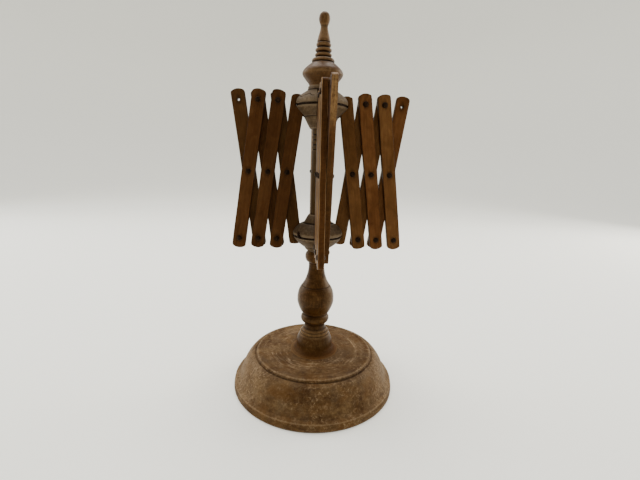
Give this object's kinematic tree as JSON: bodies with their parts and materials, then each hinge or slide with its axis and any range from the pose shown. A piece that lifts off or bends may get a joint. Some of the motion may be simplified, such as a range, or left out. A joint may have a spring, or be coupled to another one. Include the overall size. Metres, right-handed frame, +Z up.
{
  "type": "yarn swift",
  "caption": "Wooden table-top yarn swift: turned base and baluster, free-turning spindle, and riveted lazy-tongs arms that spread as the lower hub slides up, to hold a skein.",
  "frame": {"origin": "centre of the base's underside", "axes": "+Z up along the spindle, +X towards the right arm, -Y towards the front arm"},
  "size_m": [0.1618, 0.1618, 0.349],
  "materials": {
    "stand_wood": "worn dark brown finish, waxed on the column",
    "turned_wood": "weathered grey-brown, hand rubbed",
    "slat_wood": "oiled red-brown with worn edges",
    "iron": "dark, lightly rusted"
  },
  "bodies": {
    "stand": {"base": "stand_wood", "column": "stand_wood", "thrust_plate": "iron"},
    "head": {"pivot_pin": "iron", "spindle": "turned_wood", "upper_hub": "turned_wood", "upper_hub_wire": "iron", "finial_cap": "turned_wood"},
    "lower_hub": {"lower_hub": "turned_wood", "lower_hub_wire": "iron"},
    "right_inner_drop": {"right_inner_drop_slat": "slat_wood", "right_inner_rivets": "iron"},
    "right_inner_rise": {"right_inner_rise_slat": "slat_wood"},
    "right_middle_drop": {"right_middle_drop_slat": "slat_wood", "right_middle_rivets": "iron"},
    "right_middle_rise": {"right_middle_rise_slat": "slat_wood"},
    "right_outer_drop": {"right_outer_drop_slat": "slat_wood", "right_outer_rivets": "iron"},
    "right_outer_rise": {"right_outer_rise_slat": "slat_wood"},
    "left_inner_drop": {"left_inner_drop_slat": "slat_wood", "left_inner_rivets": "iron"},
    "left_inner_rise": {"left_inner_rise_slat": "slat_wood"},
    "left_middle_drop": {"left_middle_drop_slat": "slat_wood", "left_middle_rivets": "iron"},
    "left_middle_rise": {"left_middle_rise_slat": "slat_wood"},
    "left_outer_drop": {"left_outer_drop_slat": "slat_wood", "left_outer_rivets": "iron"},
    "left_outer_rise": {"left_outer_rise_slat": "slat_wood"},
    "front_inner_drop": {"front_inner_drop_slat": "slat_wood", "front_inner_rivets": "iron"},
    "front_inner_rise": {"front_inner_rise_slat": "slat_wood"},
    "front_middle_drop": {"front_middle_drop_slat": "slat_wood", "front_middle_rivets": "iron"},
    "front_middle_rise": {"front_middle_rise_slat": "slat_wood"},
    "front_outer_drop": {"front_outer_drop_slat": "slat_wood", "front_outer_rivets": "iron"},
    "front_outer_rise": {"front_outer_rise_slat": "slat_wood"},
    "back_inner_drop": {"back_inner_drop_slat": "slat_wood", "back_inner_rivets": "iron"},
    "back_inner_rise": {"back_inner_rise_slat": "slat_wood"},
    "back_middle_drop": {"back_middle_drop_slat": "slat_wood", "back_middle_rivets": "iron"},
    "back_middle_rise": {"back_middle_rise_slat": "slat_wood"},
    "back_outer_drop": {"back_outer_drop_slat": "slat_wood", "back_outer_rivets": "iron"},
    "back_outer_rise": {"back_outer_rise_slat": "slat_wood"}
  },
  "joints": [
    {"name": "head_spin", "type": "hinge", "parent": "stand", "child": "head", "pos_m": [0, 0, 0.1], "axis": [0, 0, 1], "continuous": true},
    {"name": "arms_fold", "type": "hinge", "parent": "head", "child": "front_inner_drop", "pos_m": [-0.00265, -0.022, 0.27162], "axis": [-1, 0, 0], "range_deg": [0, 60]},
    {"name": "front_inner_cross_rivet", "type": "hinge", "parent": "front_inner_drop", "child": "front_inner_rise", "pos_m": [0, -0.03027, 0.2128], "axis": [1, 0, 0], "range_deg": [0, 121]},
    {"name": "front_middle_top_rivet", "type": "hinge", "parent": "front_inner_rise", "child": "front_middle_drop", "pos_m": [0, -0.03897, 0.27469], "axis": [-1, 0, 0], "range_deg": [0, 121]},
    {"name": "front_middle_cross_rivet", "type": "hinge", "parent": "front_middle_drop", "child": "front_middle_rise", "pos_m": [0, -0.04766, 0.2128], "axis": [1, 0, 0], "range_deg": [0, 121]},
    {"name": "front_outer_top_rivet", "type": "hinge", "parent": "front_middle_rise", "child": "front_outer_drop", "pos_m": [0, -0.05636, 0.27469], "axis": [-1, 0, 0], "range_deg": [0, 121]},
    {"name": "front_outer_cross_rivet", "type": "hinge", "parent": "front_outer_drop", "child": "front_outer_rise", "pos_m": [0, -0.06506, 0.2128], "axis": [1, 0, 0], "range_deg": [0, 121]},
    {"name": "right_arm_fold", "type": "hinge", "parent": "head", "child": "right_inner_drop", "pos_m": [0.022, -0.00265, 0.27162], "axis": [0, -1, 0], "range_deg": [0, 61]},
    {"name": "right_inner_cross_rivet", "type": "hinge", "parent": "right_inner_drop", "child": "right_inner_rise", "pos_m": [0.03027, 0, 0.2128], "axis": [0, 1, 0], "range_deg": [0, 121]},
    {"name": "right_middle_top_rivet", "type": "hinge", "parent": "right_inner_rise", "child": "right_middle_drop", "pos_m": [0.03897, 0, 0.27469], "axis": [0, -1, 0], "range_deg": [0, 121]},
    {"name": "right_middle_cross_rivet", "type": "hinge", "parent": "right_middle_drop", "child": "right_middle_rise", "pos_m": [0.04766, 0, 0.2128], "axis": [0, 1, 0], "range_deg": [0, 121]},
    {"name": "right_outer_top_rivet", "type": "hinge", "parent": "right_middle_rise", "child": "right_outer_drop", "pos_m": [0.05636, 0, 0.27469], "axis": [0, -1, 0], "range_deg": [0, 121]},
    {"name": "right_outer_cross_rivet", "type": "hinge", "parent": "right_outer_drop", "child": "right_outer_rise", "pos_m": [0.06506, 0, 0.2128], "axis": [0, 1, 0], "range_deg": [0, 121]},
    {"name": "back_arm_fold", "type": "hinge", "parent": "head", "child": "back_inner_drop", "pos_m": [0.00265, 0.022, 0.27162], "axis": [1, 0, 0], "range_deg": [0, 61]},
    {"name": "back_inner_cross_rivet", "type": "hinge", "parent": "back_inner_drop", "child": "back_inner_rise", "pos_m": [0, 0.03027, 0.2128], "axis": [-1, 0, 0], "range_deg": [0, 121]},
    {"name": "back_middle_top_rivet", "type": "hinge", "parent": "back_inner_rise", "child": "back_middle_drop", "pos_m": [0, 0.03897, 0.27469], "axis": [1, 0, 0], "range_deg": [0, 121]},
    {"name": "back_middle_cross_rivet", "type": "hinge", "parent": "back_middle_drop", "child": "back_middle_rise", "pos_m": [0, 0.04766, 0.2128], "axis": [-1, 0, 0], "range_deg": [0, 121]},
    {"name": "back_outer_top_rivet", "type": "hinge", "parent": "back_middle_rise", "child": "back_outer_drop", "pos_m": [0, 0.05636, 0.27469], "axis": [1, 0, 0], "range_deg": [0, 121]},
    {"name": "back_outer_cross_rivet", "type": "hinge", "parent": "back_outer_drop", "child": "back_outer_rise", "pos_m": [0, 0.06506, 0.2128], "axis": [-1, 0, 0], "range_deg": [0, 121]},
    {"name": "left_arm_fold", "type": "hinge", "parent": "head", "child": "left_inner_drop", "pos_m": [-0.022, -0.00265, 0.27162], "axis": [0, 1, 0], "range_deg": [0, 61]},
    {"name": "left_inner_cross_rivet", "type": "hinge", "parent": "left_inner_drop", "child": "left_inner_rise", "pos_m": [-0.03027, 0, 0.2128], "axis": [0, -1, 0], "range_deg": [0, 121]},
    {"name": "left_middle_top_rivet", "type": "hinge", "parent": "left_inner_rise", "child": "left_middle_drop", "pos_m": [-0.03897, 0, 0.27469], "axis": [0, 1, 0], "range_deg": [0, 121]},
    {"name": "left_middle_cross_rivet", "type": "hinge", "parent": "left_middle_drop", "child": "left_middle_rise", "pos_m": [-0.04766, 0, 0.2128], "axis": [0, -1, 0], "range_deg": [0, 121]},
    {"name": "left_outer_top_rivet", "type": "hinge", "parent": "left_middle_rise", "child": "left_outer_drop", "pos_m": [-0.05636, 0, 0.27469], "axis": [0, 1, 0], "range_deg": [0, 121]},
    {"name": "left_outer_cross_rivet", "type": "hinge", "parent": "left_outer_drop", "child": "left_outer_rise", "pos_m": [-0.06506, 0, 0.2128], "axis": [0, -1, 0], "range_deg": [0, 121]},
    {"name": "lower_hub_hinge", "type": "hinge", "parent": "front_inner_rise", "child": "lower_hub", "pos_m": [0.00265, -0.022, 0.15398], "axis": [-1, 0, 0], "range_deg": [0, 61]}
  ],
  "couplings": [
    {"joint": "front_inner_cross_rivet", "follows": "arms_fold", "ratio": 2},
    {"joint": "front_middle_top_rivet", "follows": "arms_fold", "ratio": 2},
    {"joint": "front_middle_cross_rivet", "follows": "arms_fold", "ratio": 2},
    {"joint": "front_outer_top_rivet", "follows": "arms_fold", "ratio": 2},
    {"joint": "front_outer_cross_rivet", "follows": "arms_fold", "ratio": 2},
    {"joint": "right_arm_fold", "follows": "arms_fold", "ratio": 1},
    {"joint": "right_inner_cross_rivet", "follows": "arms_fold", "ratio": 2},
    {"joint": "right_middle_top_rivet", "follows": "arms_fold", "ratio": 2},
    {"joint": "right_middle_cross_rivet", "follows": "arms_fold", "ratio": 2},
    {"joint": "right_outer_top_rivet", "follows": "arms_fold", "ratio": 2},
    {"joint": "right_outer_cross_rivet", "follows": "arms_fold", "ratio": 2},
    {"joint": "back_arm_fold", "follows": "arms_fold", "ratio": 1},
    {"joint": "back_inner_cross_rivet", "follows": "arms_fold", "ratio": 2},
    {"joint": "back_middle_top_rivet", "follows": "arms_fold", "ratio": 2},
    {"joint": "back_middle_cross_rivet", "follows": "arms_fold", "ratio": 2},
    {"joint": "back_outer_top_rivet", "follows": "arms_fold", "ratio": 2},
    {"joint": "back_outer_cross_rivet", "follows": "arms_fold", "ratio": 2},
    {"joint": "left_arm_fold", "follows": "arms_fold", "ratio": 1},
    {"joint": "left_inner_cross_rivet", "follows": "arms_fold", "ratio": 2},
    {"joint": "left_middle_top_rivet", "follows": "arms_fold", "ratio": 2},
    {"joint": "left_middle_cross_rivet", "follows": "arms_fold", "ratio": 2},
    {"joint": "left_outer_top_rivet", "follows": "arms_fold", "ratio": 2},
    {"joint": "left_outer_cross_rivet", "follows": "arms_fold", "ratio": 2},
    {"joint": "lower_hub_hinge", "follows": "arms_fold", "ratio": 1}
  ]
}
